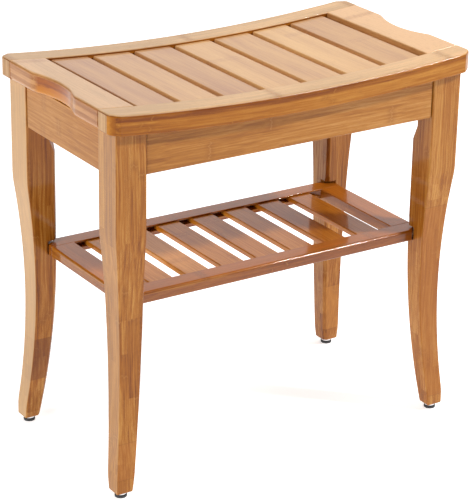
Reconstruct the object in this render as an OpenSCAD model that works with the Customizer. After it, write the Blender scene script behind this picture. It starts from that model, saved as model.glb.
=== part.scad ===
// Slatted bamboo shower stool: a saddle seat on four sabre legs, a slatted lower shelf
// held in the legs' corners, and a screw-in levelling glide under each leg.
// Millimetres. Origin on the floor under the middle of the seat, +X along the seat,
// -Y towards the front, +Z up.

/* [Seat] */
// Length of the seat along X
seat_l = 470; // [400:1:600]
// Depth of the seat along Y
seat_w = 256; // [230:1:340]
// Height of the seat's two ends above the floor
seat_h = 450; // [420:1:520]
// How far the middle of the seat dips below its ends
seat_dip = 11.5; // [6:0.5:20]
// Thickness of the rails and end boards
rail_t = 22.5; // [18:0.5:28]
// Width of the front and back rails
rail_w = 30; // [24:1:40]
// Cut across each vertical corner of the seat, along X and along Y
corner_cut_x = 7.5; // [4:0.5:14]
corner_cut_y = 10; // [4:0.5:14]
// How far the end boards reach in past the short aprons, where their screws go
board_reach = 15; // [10:0.5:20]
// Gap between seat slats
slat_gap = 6.4; // [4:0.2:12]
// Thickness of a seat slat
slat_t = 11; // [9:0.5:14]
// How far the slats lie below the rails
slat_step = 2.5; // [1:0.5:5]
// Thickness of the tongues on the slats and end boards
tongue_t = 5; // [3:0.5:6]
// Length of the tongues
tongue_l = 8; // [5:0.5:12]
// How far the rail's groove stops short of its ends
groove_stop = 14; // [12:1:24]
// Chord of the finger recess in each end board
recess_chord = 94; // [70:1:110]
// Depth of the finger recess
recess_depth = 10; // [6:0.5:14]

/* [Legs] */
// How far the legs stand in from the seat's ends
leg_inset_x = 9.5; // [2:0.5:16]
// How far the legs stand in from the seat's front and back
leg_inset_y = 9; // [2:0.5:16]
// Width of the leg's square section at the top
leg_w = 37.5; // [34:0.5:46]
// Width of the leg's square section at the foot
foot_w = 20; // [17:0.5:26]
// Height of the gap under the leg, filled by the glide
foot_gap = 7; // [5:0.5:12]
// Distance from the aprons down to where the inner faces start to curve in
bend_drop = 145; // [130:1:150]
// Distance from the aprons down to the top of the hollow in the outer faces
hollow_drop = 69; // [40:1:110]
// Height of the hollow's lower end
hollow_z0 = 24; // [15:1:60]
// Depth of the hollow in the outer faces
hollow_depth = 8.4; // [4:0.2:14]
// Cut across the inner corner where the bolt enters
inner_cut = 10; // [8:0.5:14]
// Height over which the inner corner's cut runs out
inner_run = 17; // [8:1:30]

/* [Aprons] */
// Thickness of the aprons
apron_t = 18; // [16:0.5:21]
// Distance from the seat's ends down to the aprons' bottom edges
apron_drop = 75; // [68:1:100]
// How far the long aprons lie behind the legs' faces
apron_in_y = 2.5; // [1:0.5:8]
// How far the short aprons lie behind the legs' faces
apron_in_x = 1.5; // [1:0.5:8]
// Dowel radius at the apron joints
dowel_r = 4; // [3:0.5:4]
// Dowel length at the apron joints
dowel_l = 36; // [24:1:36]
// Distance between the two dowels of a joint
dowel_pitch = 22; // [20:1:22]
// Distance from an apron's outer face in to its dowels' axes
dowel_face = 9; // [7:0.5:9]

/* [Corner fixings] */
// Height of a corner block
block_h = 36; // [28:1:37]
// Thickness of a corner block across the corner
block_t = 18; // [14:0.5:22]
// Gap between a corner block and its leg
block_gap = 2.8; // [1:0.1:5]
// Radius of the hanger bolt
bolt_r = 4; // [3:0.5:4]
// Depth of the hanger bolt in the leg
bolt_in_leg = 28; // [20:1:32]
// Height of the nut
nut_h = 6.5; // [5:0.5:8]
// Thickness of the washer
washer_t = 1.6; // [1:0.2:2.5]
// Radius of a wood screw's shank
screw_r = 2; // [1.5:0.1:2.5]
// Radius of a wood screw's head
screw_head_r = 4; // [3:0.1:4.5]
// Height of a wood screw's head
screw_head_h = 2.5; // [2:0.1:3]
// Depth of a wood screw in the piece that it holds
screw_bite = 14; // [8:1:15]

/* [Shelf] */
// How far the shelf's ends reach past the legs' inner faces
shelf_reach_x = 13; // [8:0.5:14]
// How far the shelf's front and back reach past the legs' inner faces
shelf_reach_y = 13.5; // [8:0.5:14]
// Distance from the aprons down to the shelf's underside
shelf_drop = 157; // [120:0.5:160]
// Thickness of the shelf's rails
shelf_t = 13; // [12.5:0.5:16]
// Width of the shelf's front and back rails
shelf_rail_w = 23; // [18:1:30]
// Width of the shelf's end rails
shelf_end_w = 29; // [20:0.5:32]
// Width of a shelf slat
shelf_slat_w = 30.5; // [20:0.5:34]
// Thickness of a shelf slat
shelf_slat_t = 6; // [4:0.5:8]
// Thickness of the rail's lip under the slats
shelf_lip = 5; // [2:0.5:5]
// Depth of the groove that takes the slats
shelf_groove = 9; // [6:0.5:12]
// Cut across each corner of the shelf
shelf_cut = 14.5; // [10:0.5:18]
// Gap behind the shelf's corner in the leg's slot
slot_gap = 1; // [0.5:0.1:5]
// Headroom of the leg's slot above the shelf
slot_headroom = 3; // [0.5:0.5:5]
// Radius of the shelf's dowels
shelf_dowel_r = 2.5; // [2:0.5:3]
// Depth of a corner dowel in the shelf and in the leg
shelf_dowel_in = 10; // [8:1:12]

/* [Glides] */
// Radius of the glide's base
pad_r = 7; // [6:0.5:9]
// Height of the glide's base
pad_h = 3.5; // [2.5:0.5:4]
// Radius of the glide's metal collar
collar_r = 6.2; // [5:0.1:8]
// Radius of the threaded stem
stem_r = 3; // [2.5:0.5:4]
// Length of the stem above the collar
stem_l = 13; // [11:1:18]
// Radius of the pin that turns in the base
pivot_r = 2.5; // [2:0.5:3]
// Wall of the threaded insert
insert_wall = 1.5; // [1:0.1:2]

/* [Hidden] */

// Corners as [x side, y side]
FRONT_LEFT = [-1, -1];
FRONT_RIGHT = [1, -1];
BACK_LEFT = [-1, 1];
BACK_RIGHT = [1, 1];
CORNERS = [FRONT_LEFT, FRONT_RIGHT, BACK_LEFT, BACK_RIGHT];

// Clearances
glue_gap = 0.05;
turn_gap = 0.05;
tongue_gap = 0.3;
end_gap = 0.5;
glide_gap = 0.1;
over = 1;

// Number of slats in the seat and in the shelf, one node each
SLAT_COUNT = 7;
SHELF_SLAT_COUNT = 7;

// Facets of the large arcs and of the small round parts
ARC_FN = 720;
ROUND_FN = 48;

// The saddle is a circle about an axis along Y, high above the seat
half_l = seat_l / 2;
half_w = seat_w / 2;
saddle_r = (half_l * half_l + seat_dip * seat_dip) / (2 * seat_dip);
saddle_z = seat_h - seat_dip + saddle_r;
under_r = saddle_r + rail_t;
seat_z_max = seat_h + over;
slat_r = saddle_r + slat_step;
tongue_r = slat_r + (slat_t - tongue_t) / 2;
rail_y = half_w - rail_w;
recess_r = (recess_chord * recess_chord / 4 + recess_depth * recess_depth) / (2 * recess_depth);

// Legs
apron_z = seat_h - apron_drop;
bend_z = apron_z - bend_drop;
hollow_z1 = apron_z - hollow_drop;
leg_x = half_l - leg_inset_x;
leg_y = half_w - leg_inset_y;
inner_x = leg_x - leg_w;
inner_y = leg_y - leg_w;
foot_x = leg_x - foot_w / 2;
foot_y = leg_y - foot_w / 2;
hollow_half = (hollow_z1 - hollow_z0) / 2;
hollow_r = (hollow_half * hollow_half + hollow_depth * hollow_depth) / (2 * hollow_depth);
bend_h = bend_z - foot_gap;
bend_in = leg_w - foot_w;
bend_r = (bend_h * bend_h + bend_in * bend_in) / (2 * bend_in);

// Aprons
long_apron_y = leg_y - apron_in_y;
long_apron_inner = long_apron_y - apron_t;
short_apron_x = leg_x - apron_in_x;
short_apron_inner = short_apron_x - apron_t;
block_top_gap = 1.5;
inner_top_z = saddle_z - sqrt(under_r * under_r - inner_x * inner_x);
block_z = inner_top_z - block_top_gap - block_h;
bolt_z = block_z + block_h / 2;

// End boards, and the slats between them
board_x = short_apron_inner - board_reach;
slat_w = (2 * board_x - (SLAT_COUNT + 1) * slat_gap) / SLAT_COUNT;
slat_angle = (slat_w + slat_gap) / slat_r * 180 / PI;

// Distances along the diagonal of a corner, from the leg's inner corner outwards
cut_u = inner_cut / sqrt(2);
block_u = cut_u - block_gap;
block_inner_u = block_u - block_t;
shelf_x = inner_x + shelf_reach_x;
shelf_y = inner_y + shelf_reach_y;
shelf_corner_u = (shelf_x + shelf_y - shelf_cut - inner_x - inner_y) / sqrt(2);
slot_u = shelf_corner_u + slot_gap;

// The slot's upper edge is flared by this much over this height
slot_flare = 3;
slot_flare_h = 12;

// Hanger bolt: thread left past the nut, the washer's rim, and the nut's width
bolt_tail = 3;
washer_r = bolt_r + 4.4;
nut_across = 13;

// Wood screws: the wood under a head, the room round it, and the margin to the block's edge
screw_seat = 7.5;
head_room = 0.2;
head_margin = 0.5;
head_hole = 2 * block_t;
screw_in = screw_seat + screw_head_r + head_margin;

// Where the corner block's inner face meets the long apron in x and the short apron in y
block_end_sum = inner_x + inner_y + block_inner_u * sqrt(2);
long_screw_x = block_end_sum - long_apron_inner + screw_in;
short_screw_y = block_end_sum - short_apron_inner + screw_in;
seat_screw_x = (board_x + short_apron_inner) / 2;
seat_screw_y = short_screw_y + 2 * screw_head_r;
seat_screw_z = block_z + 8;

// Shelf
shelf_z = apron_z - shelf_drop;
shelf_top = shelf_z + shelf_t;
shelf_mid = shelf_z + shelf_t / 2;
shelf_inner_x = shelf_x - shelf_end_w;
shelf_inner_y = shelf_y - shelf_rail_w;
shelf_gap = (2 * shelf_inner_x - SHELF_SLAT_COUNT * shelf_slat_w) / (SHELF_SLAT_COUNT + 1);
shelf_slat_z = shelf_z + shelf_lip;

// Dowels at the ends of the end rails: distance in from the edge, and depth in each rail
joint_edge = 6.2;
shelf_joint_x = shelf_inner_x + joint_edge;
shelf_joint_in = 14;

// Glides
pivot_l = 2;
insert_r = stem_r + turn_gap + insert_wall;
insert_l = stem_l + over;
pad_edge = 0.8;

// Puts children at one corner; they are drawn for the back right corner
module at_corner(side) {
  mirror([side[0] < 0 ? 1 : 0, 0, 0])
    mirror([0, side[1] < 0 ? 1 : 0, 0])
      children();
}

// Runs children's +X along the diagonal, out from the leg's inner corner
module on_diagonal(height) {
  translate([inner_x, inner_y, height])
    rotate([0, 0, 45])
      children();
}

// Turns children about the saddle's axis, from the middle of the seat
module on_saddle(angle) {
  translate([0, 0, saddle_z])
    rotate([0, -angle, 0])
      translate([0, 0, -saddle_z])
        children();
}

// Everything nearer to the saddle's axis than a radius
module inside_saddle(radius) {
  translate([0, seat_w, saddle_z])
    rotate([90, 0, 0])
      cylinder(r = radius, h = 2 * seat_w, $fn = ARC_FN);
}

// A shell of the saddle between two radii, over a box in plan
module saddle_shell(x0, x1, y0, y1, top_r, bottom_r) {
  difference() {
    intersection() {
      translate([x0, y0, 0])
        cube([x1 - x0, y1 - y0, seat_z_max]);
      inside_saddle(bottom_r);
    }
    inside_saddle(top_r);
  }
}

// The seat's plan, with its corners cut
module seat_plan() {
  polygon([
    [-half_l, -half_w + corner_cut_y], [-half_l + corner_cut_x, -half_w],
    [half_l - corner_cut_x, -half_w], [half_l, -half_w + corner_cut_y],
    [half_l, half_w - corner_cut_y], [half_l - corner_cut_x, half_w],
    [-half_l + corner_cut_x, half_w], [-half_l, half_w - corner_cut_y]
  ]);
}

module seat_rail() {
  groove_x = half_l - groove_stop;
  difference() {
    intersection() {
      saddle_shell(-half_l, half_l, rail_y, half_w, saddle_r, under_r);
      linear_extrude(seat_z_max)
        seat_plan();
    }
    saddle_shell(-groove_x, groove_x, rail_y - over, rail_y + tongue_l + end_gap,
                 tongue_r - tongue_gap, tongue_r + tongue_t + tongue_gap);
  }
}

module end_board() {
  tongue_x = half_l - groove_stop - end_gap;
  difference() {
    union() {
      saddle_shell(board_x, half_l, -rail_y, rail_y, saddle_r, under_r);
      saddle_shell(board_x, tongue_x, -rail_y - tongue_l, rail_y + tongue_l,
                   tongue_r, tongue_r + tongue_t);
    }
    translate([half_l - recess_depth + recess_r, 0, 0])
      cylinder(r = recess_r, h = seat_z_max, $fn = ARC_FN);
    for (side = [-1, 1])
      mirror([0, side < 0 ? 1 : 0, 0])
        seat_screw(glue_gap);
  }
}

module seat_slat(i) {
  color("burlywood")
    on_saddle((i - (SLAT_COUNT + 1) / 2) * slat_angle)
      translate([0, 0, saddle_z - slat_r]) {
        translate([-slat_w / 2, -rail_y, -slat_t])
          cube([slat_w, 2 * rail_y, slat_t]);
        translate([-slat_w / 2, -rail_y - tongue_l, -(slat_t + tongue_t) / 2])
          cube([slat_w, 2 * (rail_y + tongue_l), tongue_t]);
      }
}

module seat_front_rail() { color("burlywood") mirror([0, 1, 0]) seat_rail(); }
module seat_back_rail() { color("burlywood") seat_rail(); }
module seat_right_end_board() { color("tan") end_board(); }
module seat_left_end_board() { color("tan") mirror([1, 0, 0]) end_board(); }

// Outline of a leg seen from one side: distance in from the outer face, and height
module leg_outline() {
  difference() {
    intersection() {
      translate([0, foot_gap])
        square([leg_w, seat_h - foot_gap]);
      union() {
        translate([leg_w - bend_r, bend_z])
          circle(r = bend_r, $fn = ARC_FN);
        translate([0, bend_z])
          square([leg_w, seat_h - bend_z]);
      }
    }
    translate([hollow_depth - hollow_r, hollow_z0 + hollow_half])
      circle(r = hollow_r, $fn = ARC_FN);
  }
}

// Cut across the leg's inner corner: a bolt face above, and a slot for the shelf
module leg_corner_cuts() {
  cut_z = apron_z - inner_run;
  slot_top = shelf_top + slot_headroom;
  rotate([90, 0, 0])
    translate([0, 0, -leg_w])
      linear_extrude(2 * leg_w) {
        polygon([
          [-leg_w, cut_z - inner_run], [0, cut_z - inner_run], [cut_u, cut_z],
          [cut_u, seat_z_max], [-leg_w, seat_z_max]
        ]);
        polygon([
          [-leg_w, shelf_z], [slot_u, shelf_z], [slot_u, slot_top],
          [slot_flare, slot_top], [0, slot_top + slot_flare_h],
          [-leg_w, slot_top + slot_flare_h]
        ]);
      }
}

module leg() {
  difference() {
    translate([leg_x, leg_y, 0])
      rotate([0, 0, 180])
        intersection() {
          translate([0, leg_w, 0])
            rotate([90, 0, 0])
              linear_extrude(leg_w)
                leg_outline();
          rotate([90, 0, 90])
            linear_extrude(leg_w)
              leg_outline();
        }
    inside_saddle(under_r);
    on_diagonal(0)
      leg_corner_cuts();
    hanger_bolt(glue_gap);
    apron_dowels_at_corner(glue_gap);
    shelf_corner_dowel(glue_gap);
    translate([foot_x, foot_y, foot_gap - over])
      cylinder(r = insert_r + glue_gap, h = insert_l + over, $fn = ROUND_FN);
  }
}

module leg_front_left() { color("peru") at_corner(FRONT_LEFT) leg(); }
module leg_front_right() { color("peru") at_corner(FRONT_RIGHT) leg(); }
module leg_back_left() { color("peru") at_corner(BACK_LEFT) leg(); }
module leg_back_right() { color("peru") at_corner(BACK_RIGHT) leg(); }

// A board under the seat, its top fitted to the saddle
module apron_board(x0, x1, y0, y1) {
  difference() {
    translate([x0, y0, apron_z])
      cube([x1 - x0, y1 - y0, seat_h - apron_z]);
    inside_saddle(under_r);
  }
}

module long_apron() {
  difference() {
    apron_board(-inner_x, inner_x, long_apron_inner, long_apron_y);
    for (side = [BACK_LEFT, BACK_RIGHT])
      at_corner(side) {
        long_apron_dowels(glue_gap);
        long_block_screw(glue_gap);
      }
  }
}

module short_apron() {
  difference() {
    apron_board(short_apron_inner, short_apron_x, -inner_y, inner_y);
    for (side = [FRONT_RIGHT, BACK_RIGHT])
      at_corner(side) {
        short_apron_dowels(glue_gap);
        short_block_screw(glue_gap);
      }
  }
}

module back_apron() { color("sandybrown") long_apron(); }
module front_apron() { color("sandybrown") mirror([0, 1, 0]) long_apron(); }
module right_apron() { color("sandybrown") short_apron(); }
module left_apron() { color("sandybrown") mirror([1, 0, 0]) short_apron(); }

// Dowels from the aprons into the leg
module long_apron_dowels(gap) {
  for (dz = [-1, 1] * dowel_pitch / 2)
    translate([inner_x - dowel_l / 2 - gap, long_apron_y - dowel_face, bolt_z + dz])
      rotate([0, 90, 0])
        cylinder(r = dowel_r + gap, h = dowel_l + 2 * gap, $fn = ROUND_FN);
}

module short_apron_dowels(gap) {
  for (dz = [-1, 1] * dowel_pitch / 2)
    translate([short_apron_x - dowel_face, inner_y + dowel_l / 2 + gap, bolt_z + dz])
      rotate([90, 0, 0])
        cylinder(r = dowel_r + gap, h = dowel_l + 2 * gap, $fn = ROUND_FN);
}

module apron_dowels_at_corner(gap) {
  long_apron_dowels(gap);
  short_apron_dowels(gap);
}

module apron_dowels() {
  color("wheat")
    for (side = CORNERS)
      at_corner(side)
        apron_dowels_at_corner(0);
}

// Corner block: a bar across the corner, its ends flat on the two aprons
module corner_block() {
  difference() {
    intersection() {
      translate([0, 0, block_z])
        cube([short_apron_inner, long_apron_inner, block_h]);
      on_diagonal(block_z)
        translate([block_inner_u, -seat_w / 2, 0])
          cube([block_t, seat_w, block_h]);
    }
    hanger_bolt(glue_gap);
    long_block_screw(glue_gap);
    short_block_screw(glue_gap);
    seat_screw(glue_gap);
  }
}

module corner_block_front_left() { color("tan") at_corner(FRONT_LEFT) corner_block(); }
module corner_block_front_right() { color("tan") at_corner(FRONT_RIGHT) corner_block(); }
module corner_block_back_left() { color("tan") at_corner(BACK_LEFT) corner_block(); }
module corner_block_back_right() { color("tan") at_corner(BACK_RIGHT) corner_block(); }

// Hanger bolt: screwed into the leg, its other end through the block, washer and nut
module hanger_bolt(gap) {
  inner_end = block_inner_u - washer_t - nut_h - bolt_tail;
  on_diagonal(bolt_z)
    translate([inner_end, 0, 0])
      rotate([0, 90, 0])
        cylinder(r = bolt_r + gap, h = cut_u + bolt_in_leg + gap - inner_end, $fn = ROUND_FN);
}

module bolt_washer() {
  on_diagonal(bolt_z)
    translate([block_inner_u - washer_t, 0, 0])
      rotate([0, 90, 0])
        difference() {
          cylinder(r = washer_r, h = washer_t, $fn = ROUND_FN);
          translate([0, 0, -over])
            cylinder(r = bolt_r + glue_gap, h = washer_t + 2 * over, $fn = ROUND_FN);
        }
}

module bolt_nut() {
  on_diagonal(bolt_z)
    translate([block_inner_u - washer_t - nut_h, 0, 0])
      rotate([0, 90, 0])
        difference() {
          cylinder(r = nut_across / sqrt(3), h = nut_h, $fn = 6);
          translate([0, 0, -over])
            cylinder(r = bolt_r + glue_gap, h = nut_h + 2 * over, $fn = ROUND_FN);
        }
}

module hanger_bolts() {
  color("silver")
    for (side = CORNERS)
      at_corner(side)
        hanger_bolt(0);
}

module bolt_washers() {
  color("gainsboro")
    for (side = CORNERS)
      at_corner(side)
        bolt_washer();
}

module bolt_nuts() {
  color("silver")
    for (side = CORNERS)
      at_corner(side)
        bolt_nut();
}

// A wood screw along +Z, the head's underside at 0; with a gap, the hole that it needs
module wood_screw(length, gap) {
  head_l = gap > 0 ? head_hole : screw_head_h;
  head_r = gap > 0 ? screw_head_r + head_room : screw_head_r;
  cylinder(r = screw_r + gap, h = length + gap, $fn = ROUND_FN);
  translate([0, 0, -head_l])
    cylinder(r = head_r, h = head_l, $fn = ROUND_FN);
}

// Screws from the corner block into the two aprons
module long_block_screw(gap) {
  translate([long_screw_x, long_apron_inner - screw_seat, bolt_z])
    rotate([-90, 0, 0])
      wood_screw(screw_seat + screw_bite, gap);
}

module short_block_screw(gap) {
  translate([short_apron_inner - screw_seat, short_screw_y, bolt_z])
    rotate([0, 90, 0])
      wood_screw(screw_seat + screw_bite, gap);
}

module corner_block_screws() {
  color("dimgray")
    for (side = CORNERS)
      at_corner(side) {
        long_block_screw(0);
        short_block_screw(0);
      }
}

// Screw from under the corner block up into the end board
module seat_screw(gap) {
  board_z = saddle_z - sqrt(under_r * under_r - seat_screw_x * seat_screw_x);
  translate([seat_screw_x, seat_screw_y, seat_screw_z])
    wood_screw(board_z + screw_bite - seat_screw_z, gap);
}

module seat_fixing_screws() {
  color("dimgray")
    for (side = CORNERS)
      at_corner(side)
        seat_screw(0);
}

// Shelf
module shelf_plan() {
  polygon([
    [-shelf_x, -shelf_y + shelf_cut], [-shelf_x + shelf_cut, -shelf_y],
    [shelf_x - shelf_cut, -shelf_y], [shelf_x, -shelf_y + shelf_cut],
    [shelf_x, shelf_y - shelf_cut], [shelf_x - shelf_cut, shelf_y],
    [-shelf_x + shelf_cut, shelf_y], [-shelf_x, shelf_y - shelf_cut]
  ]);
}

module shelf_rail() {
  difference() {
    intersection() {
      translate([-shelf_x, shelf_inner_y, shelf_z])
        cube([2 * shelf_x, shelf_rail_w, shelf_t]);
      translate([0, 0, shelf_z - over])
        linear_extrude(shelf_t + 2 * over)
          shelf_plan();
    }
    translate([-shelf_inner_x, shelf_inner_y - over, shelf_slat_z])
      cube([2 * shelf_inner_x, shelf_groove + over, shelf_slat_t + tongue_gap]);
    for (side = [BACK_LEFT, BACK_RIGHT])
      at_corner(side) {
        shelf_joint_dowel(glue_gap);
        shelf_corner_dowel(glue_gap);
      }
  }
}

module shelf_end_rail() {
  difference() {
    translate([shelf_inner_x, -shelf_inner_y, shelf_z])
      cube([shelf_end_w, 2 * shelf_inner_y, shelf_t]);
    for (side = [FRONT_RIGHT, BACK_RIGHT])
      at_corner(side)
        shelf_joint_dowel(glue_gap);
  }
}

module shelf_slat(i) {
  pitch = shelf_slat_w + shelf_gap;
  reach = shelf_inner_y + shelf_groove - end_gap;
  color("rosybrown")
    translate([-shelf_inner_x + shelf_gap + (i - 1) * pitch, -reach, shelf_slat_z])
      cube([shelf_slat_w, 2 * reach, shelf_slat_t]);
}

module shelf_joint_dowel(gap) {
  translate([shelf_joint_x, shelf_inner_y - shelf_joint_in - gap, shelf_mid])
    rotate([-90, 0, 0])
      cylinder(r = shelf_dowel_r + gap, h = 2 * (shelf_joint_in + gap), $fn = ROUND_FN);
}

module shelf_corner_dowel(gap) {
  length = 2 * shelf_dowel_in + slot_gap;
  on_diagonal(shelf_mid)
    translate([shelf_corner_u - shelf_dowel_in - gap, 0, 0])
      rotate([0, 90, 0])
        cylinder(r = shelf_dowel_r + gap, h = length + 2 * gap, $fn = ROUND_FN);
}

module shelf_back_rail() { color("sienna") shelf_rail(); }
module shelf_front_rail() { color("sienna") mirror([0, 1, 0]) shelf_rail(); }
module shelf_right_end_rail() { color("peru") shelf_end_rail(); }
module shelf_left_end_rail() { color("peru") mirror([1, 0, 0]) shelf_end_rail(); }

module shelf_joint_dowels() {
  color("wheat")
    for (side = CORNERS)
      at_corner(side)
        shelf_joint_dowel(0);
}

module shelf_corner_dowels() {
  color("wheat")
    for (side = CORNERS)
      at_corner(side)
        shelf_corner_dowel(0);
}

// Glides: a base that stays on the floor, and a stem that turns in it and in the insert
module glide_insert() {
  translate([foot_x, foot_y, foot_gap])
    difference() {
      cylinder(r = insert_r, h = insert_l, $fn = ROUND_FN);
      translate([0, 0, -over])
        cylinder(r = stem_r + turn_gap, h = insert_l + 2 * over, $fn = ROUND_FN);
    }
}

module glide_stem() {
  collar_z = pad_h + glide_gap;
  collar_top = foot_gap - glide_gap;
  translate([foot_x, foot_y, 0])
    rotate_extrude($fn = ROUND_FN)
      polygon([
        [0, pad_h - pivot_l + glide_gap], [pivot_r, pad_h - pivot_l + glide_gap],
        [pivot_r, collar_z], [collar_r, collar_z], [collar_r, collar_top],
        [stem_r, collar_top], [stem_r, collar_top + stem_l], [0, collar_top + stem_l]
      ]);
}

module glide_base() {
  translate([foot_x, foot_y, 0])
    difference() {
      rotate_extrude($fn = ROUND_FN)
        polygon([
          [0, 0], [pad_r - pad_edge, 0], [pad_r, pad_edge], [pad_r, pad_h - pad_edge],
          [pad_r - pad_edge, pad_h], [0, pad_h]
        ]);
      translate([0, 0, pad_h - pivot_l])
        cylinder(r = pivot_r + turn_gap, h = pivot_l + over, $fn = ROUND_FN);
    }
}

module glide_inserts() {
  color("goldenrod")
    for (side = CORNERS)
      at_corner(side)
        glide_insert();
}

module glide_stem_front_left() { color("silver") at_corner(FRONT_LEFT) glide_stem(); }
module glide_stem_front_right() { color("silver") at_corner(FRONT_RIGHT) glide_stem(); }
module glide_stem_back_left() { color("silver") at_corner(BACK_LEFT) glide_stem(); }
module glide_stem_back_right() { color("silver") at_corner(BACK_RIGHT) glide_stem(); }
module glide_base_front_left() { color("dimgray") at_corner(FRONT_LEFT) glide_base(); }
module glide_base_front_right() { color("dimgray") at_corner(FRONT_RIGHT) glide_base(); }
module glide_base_back_left() { color("dimgray") at_corner(BACK_LEFT) glide_base(); }
module glide_base_back_right() { color("dimgray") at_corner(BACK_RIGHT) glide_base(); }

seat_front_rail();
seat_back_rail();
seat_left_end_board();
seat_right_end_board();
for (i = [1:SLAT_COUNT])
  seat_slat(i);
front_apron();
back_apron();
left_apron();
right_apron();
leg_front_left();
leg_front_right();
leg_back_left();
leg_back_right();
corner_block_front_left();
corner_block_front_right();
corner_block_back_left();
corner_block_back_right();
hanger_bolts();
bolt_washers();
bolt_nuts();
corner_block_screws();
seat_fixing_screws();
apron_dowels();
shelf_front_rail();
shelf_back_rail();
shelf_left_end_rail();
shelf_right_end_rail();
for (i = [1:SHELF_SLAT_COUNT])
  shelf_slat(i);
shelf_joint_dowels();
shelf_corner_dowels();
glide_inserts();
glide_stem_front_left();
glide_stem_front_right();
glide_stem_back_left();
glide_stem_back_right();
glide_base_front_left();
glide_base_front_right();
glide_base_back_left();
glide_base_back_right();
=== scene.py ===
"""Looks of the slatted bamboo shower stool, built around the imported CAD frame.

Metres, in the CAD's frame: origin on the floor under the middle of the seat, +X along the
seat, -Y towards the front, +Z up.
"""

import math

import bmesh
import bpy
from mathutils import Matrix, Vector


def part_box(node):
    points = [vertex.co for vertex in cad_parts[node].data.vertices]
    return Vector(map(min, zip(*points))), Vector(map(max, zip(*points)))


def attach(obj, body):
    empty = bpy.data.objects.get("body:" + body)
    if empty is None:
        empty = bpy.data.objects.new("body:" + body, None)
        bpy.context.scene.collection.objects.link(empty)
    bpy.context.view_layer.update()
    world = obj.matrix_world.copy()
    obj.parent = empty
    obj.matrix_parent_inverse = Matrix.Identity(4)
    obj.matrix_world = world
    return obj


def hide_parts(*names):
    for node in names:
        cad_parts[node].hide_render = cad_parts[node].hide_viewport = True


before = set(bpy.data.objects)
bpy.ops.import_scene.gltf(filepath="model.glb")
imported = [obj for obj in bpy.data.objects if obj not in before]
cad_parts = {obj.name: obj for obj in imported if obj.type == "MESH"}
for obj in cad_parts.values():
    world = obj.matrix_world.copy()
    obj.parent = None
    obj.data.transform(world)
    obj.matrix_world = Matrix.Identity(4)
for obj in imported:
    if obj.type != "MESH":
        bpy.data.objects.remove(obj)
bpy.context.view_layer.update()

MM = 0.001
CORNERS = {
    "front_left": (-1, -1),
    "front_right": (1, -1),
    "back_left": (-1, 1),
    "back_right": (1, 1),
}

# ---------------------------------------------------------------- sizes

# Each piece's box in the frame, for one piece of each kind: the others mirror or repeat it
RAIL_LO, RAIL_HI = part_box("seat_back_rail")
BOARD_LO, BOARD_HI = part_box("seat_right_end_board")
SLAT_LO, SLAT_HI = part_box("seat_slat_4")
LEG_LO, LEG_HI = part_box("leg_back_right")
LONG_LO, LONG_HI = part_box("back_apron")
SHORT_LO, SHORT_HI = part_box("right_apron")
SHELF_LO, SHELF_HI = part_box("shelf_back_rail")
SHELF_END_LO, SHELF_END_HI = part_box("shelf_right_end_rail")
SHELF_SLAT_LO, SHELF_SLAT_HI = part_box("shelf_slat_4")

# Seat
HALF_L = RAIL_HI.x
RAIL_IN_Y, RAIL_OUT_Y = RAIL_LO.y, RAIL_HI.y
BOARD_IN_X = BOARD_LO.x
SEAT_TOP = RAIL_HI.z
SEAT_DIP = 11.5 * MM
RAIL_T = SEAT_TOP - SEAT_DIP - RAIL_LO.z
CORNER_CUT_X = 7.5 * MM
CORNER_CUT_Y = 10 * MM
RECESS_CHORD = 94 * MM
RECESS_DEPTH = 10 * MM

# The saddle's circle, seen from the front: its radius and centre, and the radii of the boards'
# undersides and of the slats' tops about the same centre
SADDLE_R = (HALF_L**2 + SEAT_DIP**2) / (2 * SEAT_DIP)
SADDLE_Z = SEAT_TOP - SEAT_DIP + SADDLE_R
UNDER_R = SADDLE_R + RAIL_T
SLAT_R = SADDLE_Z - SLAT_HI.z

# Legs
LEG_OUT_X, LEG_IN_X = LEG_HI.x, LEG_LO.x
LEG_OUT_Y, LEG_IN_Y = LEG_HI.y, LEG_LO.y
LEG_W = LEG_OUT_X - LEG_IN_X
FOOT_Z = LEG_LO.z
APRON_Z = LONG_LO.z
FOOT_W = 20 * MM
BEND_Z = APRON_Z - 145 * MM
HOLLOW_Z0 = 24 * MM
HOLLOW_Z1 = APRON_Z - 69 * MM
HOLLOW_DEPTH = 8.4 * MM
INNER_CUT = 10 * MM
INNER_RUN = 17 * MM
FOOT_ROUND = 1.6 * MM
LEG_EDGE = 1.6 * MM
LEG_SOFT = 3.2 * MM

# Shelf, and the slots in the legs' inner corners that hold it
SHELF_Z, SHELF_TOP = SHELF_LO.z, SHELF_HI.z
SHELF_T = SHELF_TOP - SHELF_Z
SHELF_CUT = 14.5 * MM
SHELF_LIP = SHELF_SLAT_LO.z - SHELF_Z
SHELF_SLAT_T = SHELF_SLAT_HI.z - SHELF_SLAT_LO.z
SHELF_GROOVE = 9 * MM
SLOT_GAP = 1 * MM
SLOT_HEADROOM = 3 * MM
SLOT_FLARE_H = 12 * MM

# The seam at each end of an apron, and the rounding of edges that were only broken
JOINT_GAP = 1.2 * MM
SOFT_EDGE = 0.4 * MM

# Mesh limits: edges sharper than this stay sharp, points nearer than this are one
SHARP_ANGLE = math.radians(32)
SAME_POINT = 0.002 * MM


def saddle(x, radius=SADDLE_R):
    """Height of the saddle's circle of that radius at x."""
    return SADDLE_Z - math.sqrt(radius**2 - x**2)


# ---------------------------------------------------------------- mesh tools


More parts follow.
